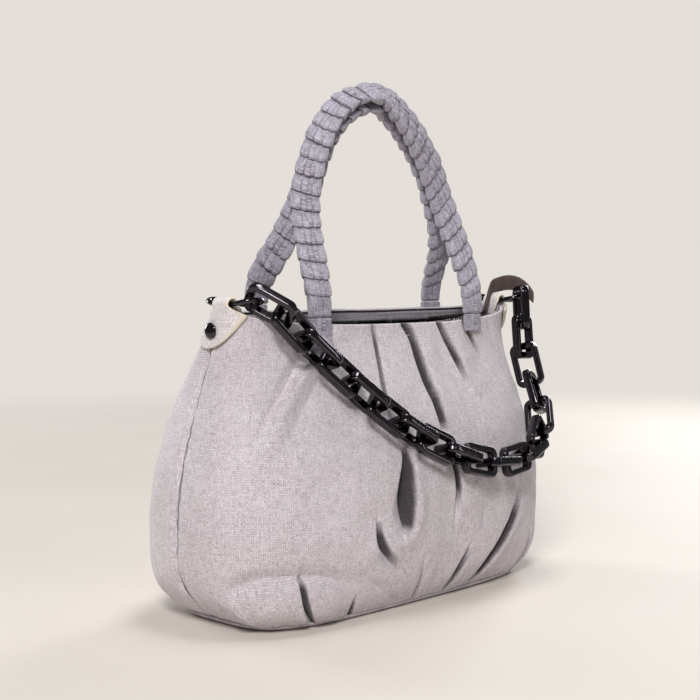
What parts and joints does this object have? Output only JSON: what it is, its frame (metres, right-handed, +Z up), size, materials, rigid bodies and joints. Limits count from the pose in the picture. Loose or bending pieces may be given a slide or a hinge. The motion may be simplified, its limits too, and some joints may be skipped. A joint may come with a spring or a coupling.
{
  "type": "shoulder bag",
  "caption": "Soft pleated shoulder bag in woven fabric with a stiffened base, shingled carrying handles, an open zip and a heavy chain hung between end rings.",
  "frame": {"origin": "middle of the face that the bag rests on, below the middle of its base", "axes": "+Z up, X along the bag with the zip's tail at +X, and -Y the front, over which the chain hangs"},
  "size_m": [0.3738, 0.183, 0.3804],
  "materials": {
    "woven_shell": "coarse warm grey weave, matte",
    "facing": "the same weave, in shade inside the mouth",
    "lining": "dark brown fine cloth",
    "board": "hidden stiffening board",
    "gunmetal": "polished dark plating"
  },
  "bodies": {
    "bag_body": {"base_panel": "woven_shell", "base_board": "board", "base_lining": "lining", "front_panel": "woven_shell", "back_panel": "woven_shell", "front_facing": "facing", "back_facing": "facing", "front_lining": "lining", "back_lining": "lining", "left_tab": "woven_shell", "right_tab": "woven_shell", "left_rivet": "gunmetal", "right_rivet": "gunmetal", "left_rivet_washer": "gunmetal", "right_rivet_washer": "gunmetal", "front_handle_left_end": "woven_shell", "front_handle_right_end": "woven_shell", "back_handle_left_end": "woven_shell", "back_handle_right_end": "woven_shell", "zip_tape_front": "lining", "zip_tape_back": "lining", "zip_teeth_front": "gunmetal", "zip_teeth_back": "gunmetal", "zip_tail": "lining"},
    "front_handle": {"front_handle": "woven_shell"},
    "back_handle": {"back_handle": "woven_shell"},
    "chain": {"chain_link_01": "gunmetal", "chain_link_02": "gunmetal", "chain_link_03": "gunmetal", "chain_link_04": "gunmetal", "chain_link_05": "gunmetal", "chain_link_06": "gunmetal", "chain_link_07": "gunmetal", "chain_link_08": "gunmetal", "chain_link_09": "gunmetal", "chain_link_10": "gunmetal", "chain_link_11": "gunmetal", "chain_link_12": "gunmetal", "chain_link_13": "gunmetal", "chain_link_14": "gunmetal", "chain_link_15": "gunmetal", "chain_link_16": "gunmetal", "chain_link_17": "gunmetal", "chain_link_18": "gunmetal", "chain_link_19": "gunmetal"},
    "left_ring": {"left_ring": "gunmetal"},
    "right_ring": {"right_ring": "gunmetal"},
    "zip_slider": {"zip_slider": "gunmetal"},
    "zip_puller": {"zip_puller": "gunmetal"}
  },
  "joints": [
    {"name": "front_handle_fold", "type": "hinge", "parent": "bag_body", "child": "front_handle", "pos_m": [0, -0.04559, 0.21049], "axis": [1, 0, 0], "range_deg": [0, 45]},
    {"name": "back_handle_fold", "type": "hinge", "parent": "bag_body", "child": "back_handle", "pos_m": [0, 0.00677, 0.21937], "axis": [-1, 0, 0], "range_deg": [0, 88]},
    {"name": "chain_swing", "type": "hinge", "parent": "bag_body", "child": "chain", "pos_m": [0, -0.04, 0.22059], "axis": [-1, 0, 0], "range_deg": [0, 80]},
    {"name": "left_ring_tilt", "type": "hinge", "parent": "bag_body", "child": "left_ring", "pos_m": [-0.14495, -0.019, 0.21715], "axis": [0, 1, 0], "range_deg": [-5, 5]},
    {"name": "right_ring_tilt", "type": "hinge", "parent": "bag_body", "child": "right_ring", "pos_m": [0.14495, -0.019, 0.21715], "axis": [0, 1, 0], "range_deg": [-5, 5]},
    {"name": "zip_slide", "type": "slide", "parent": "bag_body", "child": "zip_slider", "axis": [-1, 0, 0], "range_m": [0, 0.212]},
    {"name": "puller_swing", "type": "hinge", "parent": "zip_slider", "child": "zip_puller", "pos_m": [0.1136, -0.019, 0.2066], "axis": [0, 1, 0], "range_deg": [0, 150]}
  ]
}
